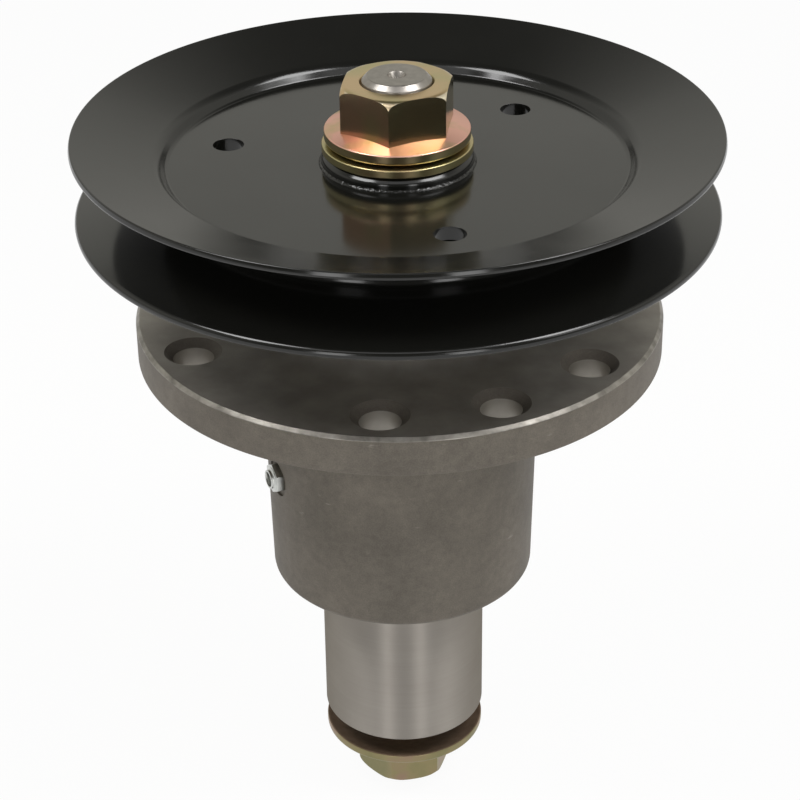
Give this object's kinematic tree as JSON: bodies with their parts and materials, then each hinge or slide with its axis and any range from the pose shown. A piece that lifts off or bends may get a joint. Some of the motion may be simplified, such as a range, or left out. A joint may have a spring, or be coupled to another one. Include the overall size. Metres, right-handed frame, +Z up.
{
  "type": "mower deck spindle",
  "caption": "Vertical mower deck spindle: flanged cast bearing housing, pressed V-belt pulley held by a flange nut on top, shaft end below with blade bolt and dished washer.",
  "frame": {"origin": "on the spindle's axis, in the underside of the flange, which lies on the deck", "axes": "+Z up the spindle towards the pulley; X and Y pass midway between the four deck bolts of the square pattern"},
  "size_m": [0.178, 0.178, 0.2302],
  "materials": {
    "cast_grey": "matte, fine cast grain",
    "turned_steel": "satin, turned",
    "bearing_steel": "ground",
    "black_paint": "gloss black paint",
    "yellow_zinc": "yellow chromate zinc plate",
    "bright_zinc": "bright zinc plate",
    "seal_rubber": "matte black"
  },
  "bodies": {
    "housing": {"spindle_housing": "cast_grey", "upper_bearing_cup": "bearing_steel", "lower_bearing_cup": "bearing_steel", "upper_seal": "seal_rubber", "lower_seal": "seal_rubber", "grease_fitting": "bright_zinc"},
    "upper_roller_set": {"upper_bearing_rollers": "bearing_steel", "upper_bearing_cage": "bearing_steel"},
    "lower_roller_set": {"lower_bearing_rollers": "bearing_steel", "lower_bearing_cage": "bearing_steel"},
    "spindle": {"spindle_shaft": "turned_steel", "upper_bearing_cone": "bearing_steel", "lower_bearing_cone": "bearing_steel", "bearing_spacer": "turned_steel", "pulley_key": "turned_steel", "pulley_upper_disc": "black_paint", "pulley_lower_disc": "black_paint", "pulley_hub": "black_paint", "pulley_hub_welds": "black_paint", "pulley_spring_washer": "yellow_zinc", "pulley_nut": "yellow_zinc", "blade_washer": "yellow_zinc", "blade_bolt": "yellow_zinc"}
  },
  "joints": [
    {"name": "spindle_spin", "type": "hinge", "parent": "housing", "child": "spindle", "pos_m": [0, 0, 0], "axis": [0, 0, 1], "continuous": true},
    {"name": "upper_rollers_orbit", "type": "hinge", "parent": "housing", "child": "upper_roller_set", "pos_m": [0, 0, 0.0218], "axis": [0, 0, 1], "continuous": true},
    {"name": "lower_rollers_orbit", "type": "hinge", "parent": "housing", "child": "lower_roller_set", "pos_m": [0, 0, -0.0546], "axis": [0, 0, 1], "continuous": true}
  ],
  "couplings": [
    {"joint": "upper_rollers_orbit", "follows": "spindle_spin", "ratio": 0.42125},
    {"joint": "lower_rollers_orbit", "follows": "spindle_spin", "ratio": 0.42125}
  ]
}
